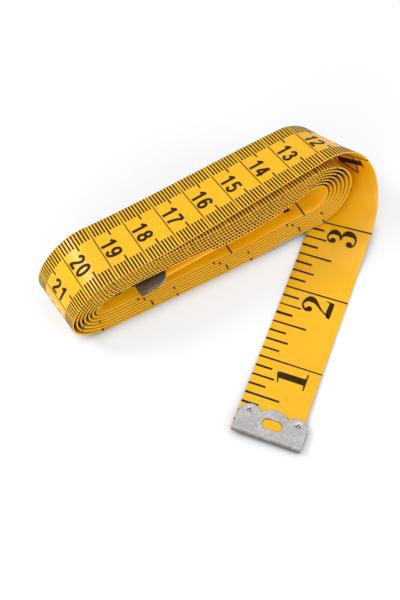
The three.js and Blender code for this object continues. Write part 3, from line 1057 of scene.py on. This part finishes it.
def nickelled(name, clean, dull, roughness):
    finish, wire, shader = new_finish(name)
    place = wire.node("TexCoord", {}, {}, "Object")
    lengthways = {"Vector": place, "Rotation": BRUSH_TURN, "Scale": BRUSH_SCALE}
    brushing = wire.noise(wire.node("Mapping", {}, lengthways), 1.0, 2.0)
    handling = wire.noise(place, HANDLING_MARKS, 4.0)
    scuffs = wire.noise(place, SCUFFS, 2.0)
    specks = wire.noise(place, SPECKS, 1.0) > SPECK_LIMIT
    dulled = handling * 1.2 + scuffs * 1.4 - 1.0 + brushing * 0.2 + specks * 0.5
    wire.mixed(dulled, clean, dull).into(shader, "Base Color")
    (handling * 0.22 + scuffs * 0.12 + roughness).into(shader, "Roughness")
    shader.inputs["Metallic"].default_value = 1.0
    marks = brushing * 0.4 + scuffs * 0.6
    relief = {"Height": marks, "Strength": BRUSH_STRENGTH, "Distance": BRUSH_HEIGHT * MM}
    wire.node("Bump", {}, relief).into(shader, "Normal")
    return finish


nickel = nickelled("nickelled_steel", NICKEL, NICKEL_DULL, NICKEL_ROUGHNESS)
# The darker steel is painted shade: it colours the inner clip under the coil, the nose of each fold
# and the free clip's cut edges.
shade_steel = nickelled("painted_shade_steel", SHADE_NICKEL, SHADE_NICKEL_DARK, SHADE_NICKEL_ROUGHNESS)

# Painted shade: the pits are near black with a grey mottle, for the shade down in the holes the
# prongs leave.
pit_shade, wire, shader = new_finish("painted_pit_shade")
place = wire.node("TexCoord", {}, {}, "Object")
pit_mottle = wire.noise(place, PIT_MOTTLE, 2.0)
wire.mixed(pit_mottle, PIT_SHADE_DARK, PIT_SHADE_GREY).into(shader, "Base Color")
shader.inputs["Roughness"].default_value = PIT_ROUGHNESS

GRIP_MIDDLE = 5.1
CLIP_SHIFT = 0.85
CLIP_PUSH = 0.15
CLIP_SKEW = 0.3
free_grip = station(tail, GRIP_MIDDLE)
inner_grip = station(flap, FLAP_LENGTH - GRIP_MIDDLE)
# The cut edges take the other clip's steel: the darker steel on the free clip as painted shade
# along its rim, the brighter on the inner clip as a painted glint.
for piece, finish, painted_edge_coat, middle, inward, body, node in (
    (clip, nickel, shade_steel, free_grip, 1, "free_end", "free_end_clip"),
    (inner_clip, shade_steel, nickel, inner_grip, -1, "inner_end", "inner_end_clip"),
):
    point, along, facing, across = middle
    to_fold = along * (inward * (GRIP_MIDDLE + CLIP_PUSH))
    fold = point - to_fold + across * CLIP_SHIFT + COIL_PLACE
    columns = (across * inward, along * inward, facing)
    turn = Matrix([[column[row] for column in columns] for row in range(3)]).to_4x4()
    skew = Matrix.Rotation(math.radians(-CLIP_SKEW), 4, "Z")
    piece.data.transform(Matrix.Scale(MM, 4) @ Matrix.Translation(fold) @ turn @ skew)
    for coat in (finish, pit_shade, shade_steel, painted_edge_coat):
        piece.data.materials.append(coat)
    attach(piece, body)
    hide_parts(node)

# The tape lies on a plain white surface, which shows its soft shadow and is lost in the white round
# it further off. Close round the tape its colour darkens as painted contact shadow.
SURFACE_SIZE = 6
SURFACE_DROP = 0.05
SURFACE_WHITE = (0.925, 0.95, 0.985)
PAINTED_CONTACT_SHADOW = (0.12, 0.12, 0.13)
CONTACT_REACH = 4.0
SURFACE_ROUGHNESS = 0.9
SURFACE_GLOSS = 0.1
SURFACE_GLOW = 0.55
FADE_START = 0.14
FADE_END = 0.6
bpy.ops.object.select_all(action="DESELECT")
bpy.ops.mesh.primitive_plane_add(size=SURFACE_SIZE, location=(0, 0, -SURFACE_DROP * MM))
surface = bpy.context.object
surface.name = "white_surface"
bpy.ops.object.transform_apply(location=True, rotation=True, scale=True)


def in_view(wire):
    """1 on a ray from the camera, off a gloss or through glass, and 0 on one that only lights."""
    kinds = ("Camera", "Glossy", "Transmission")
    camera, glossy, through = [wire.node("LightPath", {}, {}, f"Is {kind} Ray") for kind in kinds]
    return wire.math("MAXIMUM", wire.math("MAXIMUM", camera, glossy), through)


white, wire, shader = new_finish("white_surface")
shader.inputs["Roughness"].default_value = SURFACE_ROUGHNESS
shader.inputs["Specular IOR Level"].default_value = SURFACE_GLOSS
lit = Wire(wire.tree, shader.outputs["BSDF"])
glow = wire.node("Emission", {}, {"Color": (1, 1, 1, 1), "Strength": 1.0})
# Painted shadow: the surface's colour goes dark where the tape or a clip stands within
# CONTACT_REACH, and its glow is held back there too.
clear = wire.node("AmbientOcclusion", {"samples": 8}, {"Distance": CONTACT_REACH * MM}, "AO")
wire.mixed(clear, PAINTED_CONTACT_SHADOW, SURFACE_WHITE).into(shader, "Base Color")
place = wire.node("TexCoord", {}, {}, "Object")
away = wire.node("VectorMath", {"operation": "LENGTH"}, {"Vector": place}, "Value")
fade = {"Value": away, "From Min": FADE_START, "From Max": FADE_END}
far = wire.node("MapRange", {"interpolation_type": "SMOOTHSTEP"}, fade)
whiteness = wire.math("MAXIMUM", clear * clear * SURFACE_GLOW, far)
blend = {"Fac": in_view(wire) * whiteness, "Shader": lit, "Shader_001": glow}
shown = wire.node("MixShader", {}, blend)
shown.into(wire.tree.nodes["Material Output"], "Surface")
surface.data.materials.append(white)
surface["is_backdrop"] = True

# Even light comes from all round, and soft round lamps stand over the tape, behind it to the left,
# and before it to the right and to the left. Each has its place and width in metres, and its watts.
SKY_LIGHT = 0.3
LAMPS = [
    ((0.10, -0.05, 1.00), 0.8, 2.6),
    ((-0.53, 0.47, 0.69), 0.35, 4.5),
    ((0.55, -0.65, 0.40), 0.6, 3.0),
    ((-0.65, -0.50, 0.45), 0.6, 3.5),
]
studio = bpy.data.worlds.new("studio")
bpy.context.scene.world = studio
studio.use_nodes = True
sky = studio.node_tree.nodes["Background"]
sky.inputs["Color"].default_value = (1, 1, 1, 1)
(in_view(Wire(studio.node_tree)) * (1 - SKY_LIGHT) + SKY_LIGHT).into(sky, "Strength")
for place, width, power in LAMPS:
    bpy.ops.object.light_add(type="AREA", location=place)
    lamp = bpy.context.object
    lamp.rotation_euler = (-lamp.location).to_track_quat("-Z", "Y").to_euler()
    lamp.data.shape = "DISK"
    lamp.data.size = width
    lamp.data.energy = power

bpy.context.scene.view_settings.view_transform = "Standard"

boxes = {"cad": cad_box, "visual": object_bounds()}
{name: [list(corner) for corner in box] for name, box in boxes.items()}
